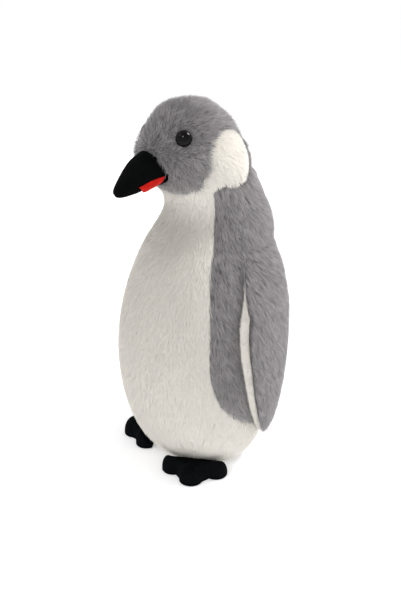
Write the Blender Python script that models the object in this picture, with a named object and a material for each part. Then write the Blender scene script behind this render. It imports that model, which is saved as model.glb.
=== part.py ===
"""Standing plush penguin: sewn skin panels around stuffing, a stuffed beak, safety eyes,
two flippers that swing on the shoulder seams and two feet that fold on the base seam.

Metres, +Z up. The penguin looks along -Y and its left side is +X. It stands on z = 0, and
the origin is on the ground below the middle of its overall box.
"""
import math

import bmesh
import bpy
from mathutils import Matrix, Vector
from mathutils.bvhtree import BVHTree
from mathutils.interpolate import poly_3d_calc

# ---- driving dimensions -------------------------------------------------------------------
ORIGIN_Y = 0.00818          # how far behind the overall box's middle the body's own axis is
SKIN = 0.0030               # thickness of a skin panel, backing and flattened pile
GAP = 0.0003                # clearance between pieces that touch
SEAM = 0.00026              # how far each panel stops short of a seam
CORE_INSET = 0.0048         # how far the stuffing stays inside the skin's outer surface

# Body outline, bottom to top: height, half width, reach to the front, reach to the back.
BODY = (
    (0.0000, 0.0240, 0.0215, 0.0180),
    (0.0035, 0.0350, 0.0305, 0.0270),
    (0.0180, 0.0468, 0.0440, 0.0360),
    (0.0450, 0.0555, 0.0535, 0.0425),
    (0.0800, 0.0580, 0.0562, 0.0470),
    (0.1150, 0.0545, 0.0505, 0.0490),
    (0.1450, 0.0460, 0.0390, 0.0485),
    (0.1700, 0.0390, 0.0215, 0.0440),
    (0.1860, 0.0345, 0.0235, 0.0375),
    (0.1980, 0.0345, 0.0385, 0.0325),
    (0.2120, 0.0335, 0.0435, 0.0285),
    (0.2280, 0.0272, 0.0385, 0.0185),
    (0.2380, 0.0200, 0.0300, 0.0090),
    (0.2432, 0.0115, 0.0220, 0.0005),
    (0.2452, 0.0000, 0.0105, -0.0105),
)
HEAD_CENTRE = Vector((0.0, -0.005, 0.213))
SHOULDER_Z = 0.1560         # height of the shoulder seam
NAPE_Z = 0.2040             # height of the neck seam at the back

# White cheek, an oval on the side of the head, as seen from the side.
CHEEK_Y = 0.0003
CHEEK_Z = 0.2125
CHEEK_HALF_Y = 0.0187
CHEEK_HALF_Z = 0.0172

BEAK_HALF_WIDTH = 0.0158
BEAK_BASE_Z = 0.2050
BEAK_BASE_HALF_Z = 0.0112
BEAK_SHELL = 0.0016
BEAK_LOWER_INSET = 0.0012   # how much slimmer the lower beak is
BEAK_STUFFING_INSET = 0.0032
MOUTH_ANGLE = 104.0         # the mouth seam's place round each beak section, from the top
MOUTH_GAP = 3.0             # degrees between the upper beak and the lower one
STRIPE_ANGLE = 36.0         # how far round from the mouth seam the red stripe reaches

EYE_RADIUS = 0.0051
EYE_DOME = 0.0042
EYE_SINK = 0.0015           # how far the eye sits into the pile
EYE_Z = 0.2255
EYE_PHI = 48.6
SHANK_RADIUS = 0.0019
SHANK_LENGTH = 0.0085
WASHER_RADIUS = 0.0060
WASHER_DEPTH = 0.0049       # from the skin's outer surface to the washer's near face
WASHER_THICKNESS = 0.0012
EYE_CLEARANCE = 0.0006      # all round the eye in its seat
POCKET_RADIUS = 0.0068      # room for the washer and the shank in the stuffing
POCKET_DEPTH = 0.0100

FLIPPER_HINGE_Z = 0.1556
# Flipper outline from the shoulder to the tip: height, front edge, rear edge.
FLIPPER = (
    (0.1545, -0.0030, 0.0300),
    (0.1400, -0.0055, 0.0325),
    (0.1260, -0.0105, 0.0325),
    (0.1120, -0.0150, 0.0320),
    (0.0960, -0.0155, 0.0315),
    (0.0780, -0.0130, 0.0295),
    (0.0600, -0.0095, 0.0255),
    (0.0450, -0.0050, 0.0200),
    (0.0350, 0.0000, 0.0150),
    (0.0300, 0.0045, 0.0110),
)
FLIPPER_STAND_OFF = 0.0009  # from the body to the flipper's inner face at the shoulder
FLIPPER_SPREAD = 0.0006     # how much further off it stands at the tip
FLIPPER_LIFT = 0.0010       # and along the middle of its front edge
FLIPPER_THINNING = 0.25     # share of its thickness lost at the tip
FLIPPER_WIDTH = 0.045       # typical width, which turns a trim into a share of it
HINGE_OUT = 0.0030          # the hinge line's place in the thickness of the shoulder
# Layers from the body outwards: name, inner face, outer face, how far short of the edge it stops.
FLIPPER_LAYERS = (("lining", 0.0000, 0.0020, 0.0), ("batting", 0.0025, 0.0045, 0.002),
                  ("outer", 0.0052, 0.0075, 0.0))

FOOT_AZIMUTH = 42.0         # where each foot points, measured from straight ahead
FOOT_HINGE = Vector((0.0252, -0.0222, 0.0010))
FOOT_REAR = 0.0010          # how far in front of its hinge the pad starts
LOBE_RADIUS = 0.0080
LOBE_SPREAD = 0.0147
REAR_HALF_WIDTH = 0.0105
SIDE_LOBE_OUT = 0.0110
MIDDLE_LOBE_OUT = 0.0222
RIGHT_FOOT_TUCK = 0.0048    # the right foot shows this much less than the left one
SOLE = 0.0016
PAD_WALL = 0.0020
PAD_REAR = 0.0045           # wall at the rear, where the foot is too thin to be stuffed
# Height of the foot's upper surface, from the hinge outwards, one value to each FOOT_TOP_STEP.
FOOT_TOP = ((0.0030,), (0.0062,), (0.0104,), (0.0124,), (0.0124,), (0.0108,), (0.0092,))
FOOT_TOP_STEP = 0.0050

# Colour and roughness of each finish.
COLOURS = {
    "grey_fur": ((0.30, 0.28, 0.28), 0.95),
    "white_fur": ((0.78, 0.74, 0.68), 0.95),
    "lining": ((0.66, 0.62, 0.56), 0.95),
    "beak_black": ((0.006, 0.007, 0.008), 0.85),
    "beak_red": ((0.55, 0.02, 0.015), 0.80),
    "foot_black": ((0.008, 0.010, 0.013), 0.90),
    "eye_black": ((0.004, 0.004, 0.005), 0.06),
    "washer": ((0.75, 0.75, 0.72), 0.45),
    "stuffing": ((0.85, 0.85, 0.83), 1.00),
    "pellets": ((0.60, 0.58, 0.52), 0.70),
}


# ---- scene helpers ------------------------------------------------------------------------
def clear_scene():
    """Starts from an empty file."""
    for ob in list(bpy.data.objects):
        bpy.data.objects.remove(ob, do_unlink=True)


def material(name):
    mat = bpy.data.materials.get(name)
    if mat is None:
        mat = bpy.data.materials.new(name)
        mat.use_nodes = True
        colour, roughness = COLOURS[name]
        shader = mat.node_tree.nodes["Principled BSDF"]
        shader.inputs["Base Color"].default_value = (*colour, 1.0)
        shader.inputs["Roughness"].default_value = roughness
        shader.inputs["Metallic"].default_value = 0.0
    return mat


def add_object(name, verts, faces, mat, parent=None):
    """A closed mesh object. Points are given in the body's own frame."""
    mesh = bpy.data.meshes.new(name)
    mesh.from_pydata([tuple(v) for v in verts], [], faces)
    bm = bmesh.new()
    bm.from_mesh(mesh)
    bmesh.ops.remove_doubles(bm, verts=bm.verts, dist=1e-6)
    bmesh.ops.recalc_face_normals(bm, faces=bm.faces)
    bm.to_mesh(mesh)
    bm.free()
    mesh.shade_smooth()
    mesh.set_sharp_from_angle(angle=math.radians(50.0))
    mesh.materials.append(material(mat))
    ob = bpy.data.objects.new(name, mesh)
    bpy.context.scene.collection.objects.link(ob)
    if parent is None:
        ob.location.y = ORIGIN_Y
    else:
        ob.parent = parent
        ob.matrix_parent_inverse = Matrix.Translation(-parent.location) @ Matrix.Translation(
            (0.0, ORIGIN_Y, 0.0))
    return ob


def add_pivot(name, place):
    """An empty on a joint's axis, which the moving pieces hang from."""
    pivot = bpy.data.objects.new(name, None)
    pivot.empty_display_size = 0.01
    pivot.location = Vector(place) + Vector((0.0, ORIGIN_Y, 0.0))
    bpy.context.scene.collection.objects.link(pivot)
    return pivot


def mirrored(points, side):
    return [Vector((p[0] * side, p[1], p[2])) for p in points]


# ---- the body's surface -------------------------------------------------------------------
def smooth_row(rows, t):
    """Catmull-Rom interpolation along a tuple of rows, at row number t."""
    last = len(rows) - 1
    i = min(max(int(math.floor(t)), 0), last - 1)
    u = t - i
    b, c = rows[i], rows[i + 1]
    a = rows[i - 1] if i > 0 else [2 * x - y for x, y in zip(b, c)]
    d = rows[i + 2] if i + 2 <= last else [2 * y - x for x, y in zip(b, c)]
    return [
        0.5 * (2 * q + (r - p) * u + (2 * p - 5 * q + 4 * r - s) * u * u
               + (3 * q - p - 3 * r + s) * u ** 3)
        for p, q, r, s in zip(a, b, c, d)
    ]


def body_point(t, phi, inset=0.0):
    """Point on the body at row number t. phi is 0 in front and grows towards the left side."""
    z, half, front, back = smooth_row(BODY, t)
    half = max(half - inset, 0.0)
    reach = max(0.5 * (front + back) - inset, 0.0)
    return Vector((half * math.sin(phi), 0.5 * (back - front) - reach * math.cos(phi), z))


def row_at(height):
    """Row number of the body's outline at a height."""
    low, high = 0.0, len(BODY) - 1.0
    for _ in range(40):
        middle = 0.5 * (low + high)
        if smooth_row(BODY, middle)[0] < height:
            low = middle
        else:
            high = middle
    return 0.5 * (low + high)


def body_at(phi_deg, height, inset=0.0):
    return body_point(row_at(height), math.radians(phi_deg), inset)


class Skin:
    """The body's outer surface as a fine closed mesh, for projecting points onto it."""

    def __init__(self, rows=150, columns=144):
        self.verts = []
        self.faces = []
        top = len(BODY) - 1.0
        for i in range(rows):
            for j in range(columns):
                self.verts.append(body_point(top * i / rows, 2 * math.pi * j / columns))
        for i in range(rows - 1):
            for j in range(columns):
                k = (j + 1) % columns
                self.faces.append((i * columns + j, i * columns + k,
                                   (i + 1) * columns + k, (i + 1) * columns + j))
        self.faces.append(tuple((rows - 1) * columns + j for j in range(columns)))
        self.faces.append(tuple(reversed(range(columns))))
        self.tree = BVHTree.FromPolygons(self.verts, self.faces)
        self.normals = [Vector() for _ in self.verts]
        for face in self.faces[:-2]:
            p, q, r, s = (self.verts[k] for k in face)
            area = (r - p).cross(s - q)
            for k in face:
                self.normals[k] += area
        for n in self.normals:
            n.normalize()

    def normal(self, point):
        place, flat, index, _ = self.tree.find_nearest(point)
        face = self.faces[index]
        if len(face) > 4:
            return flat
        weights = poly_3d_calc([self.verts[k] for k in face], place)
        total = Vector()
        for w, k in zip(weights, face):
            total += self.normals[k] * w
        return total.normalized()

    def cast(self, start, direction):
        return self.tree.ray_cast(start, direction)[0]

    def from_front(self, x, z):
        return self.cast(Vector((x, -0.2, z)), Vector((0.0, 1.0, 0.0)))

    def from_side(self, y, z):
        return self.cast(Vector((0.2, y, z)), Vector((-1.0, 0.0, 0.0)))

    def from_head(self, point):
        return self.cast(HEAD_CENTRE, (point - HEAD_CENTRE).normalized())


SKIN_SURFACE = Skin()


# ---- curves -------------------------------------------------------------------------------
def resample(points, count):
    """The same curve as count equal steps along its length."""
    lengths = [0.0]
    for p, q in zip(points, points[1:]):
        lengths.append(lengths[-1] + (Vector(q) - Vector(p)).length)
    out = []
    k = 0
    for i in range(count + 1):
        want = lengths[-1] * i / count
        while k < len(lengths) - 2 and lengths[k + 1] < want:
            k += 1
        span = max(lengths[k + 1] - lengths[k], 1e-12)
        f = min(max((want - lengths[k]) / span, 0.0), 1.0)
        out.append(Vector(points[k]).lerp(Vector(points[k + 1]), f))
    return out


def seam(knots, count, place=body_at, fine=60):
    """A seam through knots given as (phi in degrees, height), laid on the body."""
    dense = [place(*smooth_row(knots, (len(knots) - 1) * i / fine)) for i in range(fine + 1)]
    return resample(dense, count)


def join(*curves):
    """Curves laid end to end, each sharing its first point with the last one's end."""
    out = list(curves[0])
    for curve in curves[1:]:
        out += curve[1:]
    return out


NECK_CORNER = (62.0, 0.1925)
FACE_CORNER = (50.0, 0.1960)
NAPE_CORNER = (162.0, NAPE_Z)
HIDDEN_PHI = 104.0          # the seam behind the flipper

BELLY_SIDE = seam(((68, 0.058), (60, 0.078), (58, 0.104), (56, 0.130), (52, SHOULDER_Z)), 6)
NECK_SIDE = seam(((52, SHOULDER_Z), (46, 0.172), (52, 0.184), NECK_CORNER), 4)
FACE_FRONT = seam(((0, 0.1885), (16, 0.1895), (34, 0.1920), FACE_CORNER), 5)
CHEEK_CORNER = seam((FACE_CORNER, NECK_CORNER), 1)
SHOULDER_SIDE = seam(((52, SHOULDER_Z), (HIDDEN_PHI, SHOULDER_Z)), 5)
SHOULDER_BACK = seam(((HIDDEN_PHI, SHOULDER_Z), (180, SHOULDER_Z)), 5)
HIDDEN_SIDE = seam(((HIDDEN_PHI, 0.038), (HIDDEN_PHI, 0.078), (HIDDEN_PHI, 0.116),
                    (HIDDEN_PHI, SHOULDER_Z)), 6)
BASE_FRONT = seam(((0, 0.0075), (26, 0.0085), (48, 0.018), (62, 0.040), (68, 0.058)), 6)
BASE_SIDE = seam(((68, 0.058), (80, 0.047), (92, 0.041), (HIDDEN_PHI, 0.038)), 5)
BASE_BACK = seam(((HIDDEN_PHI, 0.038), (142, 0.033), (180, 0.031)), 5)
BACK_LOW = seam(((180, 0.031), (180, 0.070), (180, 0.110), (180, SHOULDER_Z)), 6)
BACK_HIGH = seam(((180, SHOULDER_Z), (180, 0.180), (180, NAPE_Z)), 4)
NAPE_BACK = seam((NAPE_CORNER, (180, NAPE_Z)), 1)


def cheek_points(start, end, step):
    """Points on the cheek's oval. The angle is 0 at its front, 90 at its top, 180 at its rear."""
    points = []
    for angle in range(start, end, step):
        a = math.radians(angle)
        points.append(SKIN_SURFACE.from_side(CHEEK_Y - CHEEK_HALF_Y * math.cos(a),
                                             CHEEK_Z + CHEEK_HALF_Z * math.sin(a)))
    return points


CHEEK_FRONT = resample([body_at(*FACE_CORNER), body_at(60.0, 0.2005)] + cheek_points(-8, 46, 7), 5)
CHEEK_TOP = resample([CHEEK_FRONT[-1]] + cheek_points(50, 138, 4), 5)
CHEEK_REAR = resample([CHEEK_TOP[-1]] + cheek_points(142, 216, 7), 5)
CHEEK_LOW = resample([body_at(*NECK_CORNER)] + cheek_points(296, 214, -6) + [CHEEK_REAR[-1]], 4)
NAPE_FACE = [CHEEK_REAR[-1].lerp(body_at(*NAPE_CORNER), i / 5) for i in range(6)]
NAPE_FACE = [NAPE_FACE[0]] + [SKIN_SURFACE.from_head(p) for p in NAPE_FACE[1:5]] + [NAPE_FACE[5]]


def opening_points(start, end, step):
    """Points on the opening that the beak is sewn over. The angle is 0 at the top, 180 below."""
    points = []
    for angle in range(start, end, step):
        a = math.radians(angle)
        points.append(SKIN_SURFACE.from_front(BEAK_HALF_WIDTH * math.sin(a),
                                              BEAK_BASE_Z + BEAK_BASE_HALF_Z * math.cos(a)))
    return points


BEAK_SIDE = resample(opening_points(180, 35, -5), 4)
CHIN = [FACE_FRONT[0], BEAK_SIDE[0]]


def gusset_edge(count=10, fine=40):
    """The crown strip's edge, from the beak's opening over the crown to the nape."""
    start, end = BEAK_SIDE[-1], body_at(*NAPE_CORNER)
    first = math.atan2(start.z - HEAD_CENTRE.z, HEAD_CENTRE.y - start.y)
    last = math.pi - math.atan2(end.z - HEAD_CENTRE.z, end.y - HEAD_CENTRE.y)
    points = [start]
    for i in range(1, fine):
        f = i / fine
        angle = first + (last - first) * f
        out = Vector((0.0, -math.cos(angle), math.sin(angle)))
        middle = HEAD_CENTRE + Vector((start.x + (end.x - start.x) * f, 0.0, 0.0))
        points.append(SKIN_SURFACE.cast(middle, out))
    points.append(end)
    return resample(points, count)


GUSSET_SIDE = gusset_edge()
BROW = [BEAK_SIDE[-1], opening_points(0, 1, 1)[0]]


# ---- panels -------------------------------------------------------------------------------
def coons(bottom, right, top, left, place):
    """Grid between four curves. bottom and top run left to right, left and right run upwards."""
    columns, rows = len(bottom) - 1, len(left) - 1
    grid = []
    for j in range(rows + 1):
        v = j / rows
        line = []
        for i in range(columns + 1):
            u = i / columns
            p = bottom[i] * (1 - v) + top[i] * v + left[j] * (1 - u) + right[j] * u
            p = p - bottom[0] * ((1 - u) * (1 - v)) - bottom[-1] * (u * (1 - v))
            p = p - top[0] * ((1 - u) * v) - top[-1] * (u * v)
            edge = i in (0, columns) or j in (0, rows)
            line.append(p if edge else place(p))
        grid.append(line)
    return grid


def on_torso(point):
    """Moves a point level with itself, out from the body's axis, onto the skin."""
    t = row_at(point.z)
    _, half, front, back = smooth_row(BODY, t)
    y = point.y - 0.5 * (back - front)
    return body_point(t, math.atan2(point.x / half, -y / (0.5 * (front + back))))


def stop_short(grid):
    """Pulls a grid's outer points back from its seams, so that it clears its neighbours."""
    rows, columns = len(grid), len(grid[0])
    pulled = [list(line) for line in grid]
    for j in range(rows):
        for i in range(columns):
            side_step = None
            if i in (0, columns - 1):
                side_step = grid[j][1 if i == 0 else columns - 2] - grid[j][i]
            level_step = None
            if j in (0, rows - 1):
                level_step = grid[1 if j == 0 else rows - 2][i] - grid[j][i]
            if side_step and level_step:
                pulled[j][i] = grid[j][i] + corner_step(side_step, level_step)
            elif side_step:
                along = grid[j + 1][i] - grid[j - 1][i]
                pulled[j][i] = grid[j][i] + square_step(side_step, along)
            elif level_step:
                along = grid[j][i + 1] - grid[j][i - 1]
                pulled[j][i] = grid[j][i] + square_step(level_step, along)
    return pulled


def square_step(step, along):
    """One seam allowance, square to the seam, towards the side that step points to."""
    along = along.normalized()
    return (step - along * step.dot(along)).normalized() * SEAM


def corner_step(first, second):
    """One seam allowance away from both seams that meet at a corner."""
    first, second = first.normalized(), second.normalized()
    sine = first.cross(second).length
    return (first + second) * (SEAM / max(sine, 0.35))


def slab(name, outer, inner, mat, side=1, parent=None):
    """A closed piece between two grids of the same size."""
    rows, columns = len(outer), len(outer[0])
    verts = [p for line in outer for p in line] + [p for line in inner for p in line]
    count = rows * columns
    faces = []
    for j in range(rows - 1):
        for i in range(columns - 1):
            a = j * columns + i
            quad = (a, a + 1, a + 1 + columns, a + columns)
            faces.append(quad)
            faces.append(tuple(k + count for k in reversed(quad)))
    ring = list(range(columns))
    ring += [j * columns + columns - 1 for j in range(1, rows)]
    ring += [(rows - 1) * columns + i for i in range(columns - 2, -1, -1)]
    ring += [j * columns for j in range(rows - 2, 0, -1)]
    for a, b in zip(ring, ring[1:] + ring[:1]):
        faces.append((a, a + count, b + count, b))
    return add_object(name, mirrored(verts, side), faces, mat, parent)


def panel(name, grid, mat, side=1):
    """A skin panel: the grid outside, and the same grid one thickness further in."""
    outer = stop_short(grid)
    inner = [[p - SKIN_SURFACE.normal(p) * SKIN for p in line] for line in outer]
    return slab(name, outer, inner, mat, side)


def mirror_join(half):
    """A curve from the right side to the left, from its left half, which starts in the middle."""
    return [Vector((-p.x, p.y, p.z)) for p in reversed(half[1:])] + half


def build_belly():
    side = join(BELLY_SIDE, NECK_SIDE)
    right = [Vector((-p.x, p.y, p.z)) for p in side]
    bottom = mirror_join(BASE_FRONT)
    top = mirror_join(join(FACE_FRONT, CHEEK_CORNER))
    panel("belly_panel", coons(bottom, side, top, right, on_torso), "white_fur")


def build_crown():
    left = GUSSET_SIDE
    right = [Vector((-p.x, p.y, p.z)) for p in left]
    brow = mirror_join([BROW[1], BROW[0]])
    nape = mirror_join([NAPE_BACK[1], NAPE_BACK[0]])
    panel("crown_gusset", coons(brow, left, nape, right, SKIN_SURFACE.from_head), "grey_fur")


def build_side(label, side):
    """One side's panels, from the base seam up to the crown strip."""
    panel(f"side_panel_{label}",
          coons(BASE_SIDE, HIDDEN_SIDE, SHOULDER_SIDE, BELLY_SIDE, on_torso), "grey_fur", side)
    panel(f"back_panel_{label}",
          coons(BASE_BACK, BACK_LOW, SHOULDER_BACK, HIDDEN_SIDE, on_torso), "grey_fur", side)
    panel(f"shoulder_panel_{label}",
          coons(join(SHOULDER_SIDE, SHOULDER_BACK), BACK_HIGH,
                join(CHEEK_LOW, NAPE_FACE, NAPE_BACK), NECK_SIDE, on_torso), "grey_fur", side)
    panel(f"cheek_patch_{label}",
          coons(join(CHEEK_CORNER, CHEEK_LOW), CHEEK_REAR[::-1], CHEEK_TOP, CHEEK_FRONT,
                SKIN_SURFACE.from_head), "white_fur", side)
    face = panel(f"face_panel_{label}",
                 coons(FACE_FRONT, join(CHEEK_FRONT, CHEEK_TOP, CHEEK_REAR), NAPE_FACE[::-1],
                       join(CHIN, BEAK_SIDE, GUSSET_SIDE), SKIN_SURFACE.from_head),
                 "grey_fur", side)
    return face


def loft(name, loops, mat, parent=None):
    """A closed piece through loops of equal size, capped at both ends."""
    size = len(loops[0])
    verts = [p for loop in loops for p in loop]
    faces = [tuple(reversed(range(size)))]
    for k in range(len(loops) - 1):
        for i in range(size):
            j = (i + 1) % size
            a = k * size
            faces.append((a + i, a + j, a + j + size, a + i + size))
    faces.append(tuple((len(loops) - 1) * size + i for i in range(size)))
    return add_object(name, verts, faces, mat, parent)


def build_base():
    """The underside: a shallow bowl from the base seam down to a flat oval on the ground."""
    half = join(BASE_FRONT, BASE_SIDE, BASE_BACK)
    rim = half + [Vector((-p.x, p.y, p.z)) for p in reversed(half[1:-1])]
    rings = 4
    outer = []
    for k in range(rings + 1):
        loop = []
        for p in rim:
            t = row_at(p.z) * (1 - k / rings)
            _, width, front, back = smooth_row(BODY, row_at(p.z))
            phi = math.atan2(p.x / width, -(p.y - 0.5 * (back - front)) / (0.5 * (front + back)))
            loop.append(body_point(t, phi) if k else p)
        outer.append(loop)
    outer[0] = [p + (q - p).normalized() * SEAM for p, q in zip(outer[0], outer[1])]
    inner = []
    for loop in outer[:-1]:
        inner.append([p - SKIN_SURFACE.normal(p) * SKIN for p in loop])
    middle = Vector((0.0, -0.008, 0.0))
    inner.append([middle + (p - middle) * 0.93 + Vector((0.0, 0.0, SKIN)) for p in outer[-1]])
    loft("base_panel", inner[::-1] + outer, "white_fur")


# Stuffing, bottom to top, in the same form as BODY.
PELLET_BAG = ((0.0045, 0.020, 0.0165, 0.013), (0.0088, 0.031, 0.0255, 0.022),
              (0.0160, 0.040, 0.0330, 0.028), (0.0225, 0.042, 0.0362, 0.031))
TORSO_CORE = ((0.0230, 0.0425, 0.0368, 0.0320), (0.0450, 0.0505, 0.0468, 0.0375),
              (0.0800, 0.0530, 0.0500, 0.0420), (0.1150, 0.0495, 0.0455, 0.0440),
              (0.1450, 0.0410, 0.0340, 0.0435), (0.1700, 0.0330, 0.0165, 0.0375),
              (0.1860, 0.0290, 0.0180, 0.0325), (0.1955, 0.0285, 0.0180, 0.0295))
HEAD_CORE = ((0.1960, 0.0270, 0.0190, 0.0270), (0.2020, 0.0275, 0.0310, 0.0260),
             (0.2120, 0.0285, 0.0375, 0.0235), (0.2200, 0.0262, 0.0360, 0.0195),
             (0.2280, 0.0215, 0.0320, 0.0135), (0.2350, 0.0135, 0.0205, 0.0050),
             (0.2385, 0.0065, 0.0130, -0.0030))


def core(name, rows, mat, sides=28):
    loops = []
    for z, half, front, back in rows:
        loop = []
        for i in range(sides):
            phi = 2 * math.pi * i / sides
            loop.append(Vector((half * math.sin(phi),
                                0.5 * (back - front) - 0.5 * (front + back) * math.cos(phi), z)))
        loops.append(loop)
    return loft(name, loops, mat)


# ---- beak ---------------------------------------------------------------------------------
# Sections in front of the base: y, middle height, half width, half height.
BEAK = (
    (-0.0485, 0.2022, 0.0143, 0.0106),
    (-0.0535, 0.1993, 0.0122, 0.0093),
    (-0.0585, 0.1960, 0.0095, 0.0071),
    (-0.0625, 0.1933, 0.0066, 0.0048),
    (-0.0655, 0.1920, 0.0036, 0.0029),
)


def beak_ring(section, angles, inset):
    """Points round one section. Section 0 lies on the head, just clear of the face."""
    points = []
    for i, angle in enumerate(angles):
        a = math.radians(angle)
        if section == 0:
            place = SKIN_SURFACE.from_front((BEAK_HALF_WIDTH - inset) * math.sin(a),
                                            BEAK_BASE_Z + (BEAK_BASE_HALF_Z - inset) * math.cos(a))
            points.append(place - Vector((0.0, 0.0004, 0.0)))
        else:
            y, z, wide, high = BEAK[section - 1]
            points.append(Vector((max(wide - inset, 0.0006) * math.sin(a), y,
                                  z + max(high - inset, 0.0005) * math.cos(a))))
    return points


def angles_between(start, end, steps):
    return [start + (end - start) * i / steps for i in range(steps + 1)]


def beak_shell(name, angles, mat, inset, thickness, sections):
    loops = []
    for k in sections:
        wall = thickness if k < len(BEAK) else thickness * 0.6
        loops.append(beak_ring(k, angles, inset) + beak_ring(k, angles[::-1], inset + wall))
    return loft(name, loops, mat)


def build_beak():
    all_sections = range(len(BEAK) + 1)
    low = MOUTH_ANGLE + MOUTH_GAP
    beak_shell("beak_upper", angles_between(-MOUTH_ANGLE, MOUTH_ANGLE, 14), "beak_black",
               0.0, BEAK_SHELL, all_sections)
    beak_shell("beak_lower", angles_between(low, 360 - low, 9), "beak_black",
               BEAK_LOWER_INSET, BEAK_SHELL, all_sections)
    full = angles_between(0, 360 - 22.5, 15)
    loops = [beak_ring(k, full, BEAK_STUFFING_INSET) for k in range(len(BEAK))]
    loft("beak_stuffing", loops, "stuffing")
    for label, side in (("left", 1), ("right", -1)):
        strip = angles_between(low, MOUTH_ANGLE + STRIPE_ANGLE, 4)
        loops = []
        for k in range(4):
            loop = beak_ring(k, strip, -0.0004) + beak_ring(k, strip[::-1], 0.0009)
            loops.append(mirrored(loop, side))
        loft(f"beak_stripe_{label}", loops, "beak_red")


# ---- eyes ---------------------------------------------------------------------------------
def turned(name, profile, place, direction, mat, sides=20):
    """A piece turned about an axis. The profile is (height along the axis, radius) pairs."""
    turn = direction.to_track_quat("Z", "Y").to_matrix()
    loops = []
    for height, radius in profile:
        loops.append([place + turn @ Vector((radius * math.cos(2 * math.pi * i / sides),
                                             radius * math.sin(2 * math.pi * i / sides), height))
                      for i in range(sides)])
    return loft(name, loops, mat)


def cut(target, cutter):
    cutter.hide_render = True
    cutter.display_type = "WIRE"
    change = target.modifiers.new(f"cut_{cutter.name}", "BOOLEAN")
    change.operation = "DIFFERENCE"
    change.solver = "EXACT"
    change.object = cutter


def build_eye(label, side, face, head_core):
    place = body_at(EYE_PHI, EYE_Z)
    out = SKIN_SURFACE.normal(place)
    place, out = mirrored([place, out], side)
    dome = [(EYE_DOME * math.sin(math.radians(a)) - EYE_SINK, EYE_RADIUS * math.cos(math.radians(a)))
            for a in (12, 30, 48, 66, 82)]
    profile = [(-SHANK_LENGTH, SHANK_RADIUS * 0.7), (-SHANK_LENGTH + 0.0006, SHANK_RADIUS),
               (-EYE_SINK, SHANK_RADIUS), (-EYE_SINK, EYE_RADIUS * 0.95)] + dome
    turned(f"eye_{label}", profile, place, out, "eye_black")
    seat = -EYE_SINK - GAP
    bore = SHANK_RADIUS + 0.0005
    wide = EYE_RADIUS + EYE_CLEARANCE
    hole = turned(f"eye_hole_{label}", [(-0.009, bore), (seat, bore), (seat, wide), (0.006, wide)],
                  place, out, "washer")
    cut(face, hole)
    near, far = -WASHER_DEPTH, -WASHER_DEPTH - WASHER_THICKNESS
    bore = SHANK_RADIUS + 0.0004
    ring = [(near, bore), (near, WASHER_RADIUS), (far, WASHER_RADIUS), (far, bore)]
    washer(f"eye_washer_{label}", ring, place, out)
    pocket = turned(f"eye_pocket_{label}", [(-POCKET_DEPTH, POCKET_RADIUS), (0.0, POCKET_RADIUS)],
                    place, out, "washer")
    cut(head_core, pocket)


def washer(name, ring, place, direction, sides=20):
    """A flat ring round an axis, from a closed section of (height, radius) pairs."""
    turn = direction.to_track_quat("Z", "Y").to_matrix()
    verts = []
    for i in range(sides):
        a = 2 * math.pi * i / sides
        for height, radius in ring:
            verts.append(place + turn @ Vector((radius * math.cos(a), radius * math.sin(a), height)))
    size = len(ring)
    faces = []
    for i in range(sides):
        j = (i + 1) % sides
        for k in range(size):
            m = (k + 1) % size
            faces.append((i * size + k, i * size + m, j * size + m, j * size + k))
    return add_object(name, verts, faces, "washer")


# ---- flippers -----------------------------------------------------------------------------
def flipper_point(v, u, depth):
    """Point in the flipper: v runs from the shoulder to the tip, u from the front edge back."""
    z, front, rear = smooth_row(FLIPPER, v * (len(FLIPPER) - 1))
    y = front + (rear - front) * u
    foot = SKIN_SURFACE.from_side(y, z)
    out = SKIN_SURFACE.normal(foot)
    out.z = 0.0
    lift = FLIPPER_LIFT * (1 - u) ** 2 * math.sin(math.pi * v)
    stand_off = FLIPPER_STAND_OFF + FLIPPER_SPREAD * v + lift
    thin = 1.0 - FLIPPER_THINNING * v
    return foot + out.normalized() * (stand_off + depth * thin)


def flipper_hinge(side):
    """The middle of the shoulder hinge, which runs along the flipper's top edge."""
    _, front_edge, rear_edge = FLIPPER[0]
    front, rear = (SKIN_SURFACE.from_side(y, FLIPPER_HINGE_Z) for y in (front_edge, rear_edge))
    return mirrored([front.lerp(rear, 0.5) + Vector((HINGE_OUT, 0.0, 0.0))], side)[0]


def build_flipper(label, side):
    pivot = add_pivot(f"{label}_flipper_pivot", flipper_hinge(side))
    rows, columns = 11, 5
    for layer, low, high, trim in FLIPPER_LAYERS:
        edge = trim / FLIPPER_WIDTH
        grids = []
        for depth in (high, low):
            grid = []
            for j in range(rows + 1):
                v = edge + (1 - 2 * edge) * j / rows
                grid.append([flipper_point(v, edge + (1 - 2 * edge) * i / columns, depth)
                             for i in range(columns + 1)])
            grids.append(grid)
        mat = {"lining": "lining", "batting": "stuffing", "outer": "grey_fur"}[layer]
        slab(f"flipper_{layer}_{label}", grids[0], grids[1], mat, side, pivot)


# ---- feet ---------------------------------------------------------------------------------
def foot_outline(inset, rear_inset, tuck, steps=8):
    """Outline of a foot as (out, across) pairs: two side lobes, a middle lobe, a straight rear."""
    radius = LOBE_RADIUS - inset
    rear = FOOT_REAR + rear_inset
    side_out = SIDE_LOBE_OUT - tuck
    middle_out = MIDDLE_LOBE_OUT - tuck
    start = math.degrees(math.acos(max(-0.77, min(1.0, (rear + 0.0002 - side_out) / radius))))
    half = [(rear, REAR_HALF_WIDTH - inset)]
    for i in range(steps + 1):
        a = math.radians(start - (start + 25.0) * i / steps)
        half.append((side_out + radius * math.cos(a), LOBE_SPREAD + radius * math.sin(a)))
    for i in range(steps + 1):
        a = math.radians(85 - 85 * i / steps)
        half.append((middle_out + radius * math.cos(a), radius * math.sin(a)))
    other = [(out, -across) for out, across in reversed(half[:-1])]
    return half + other


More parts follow.
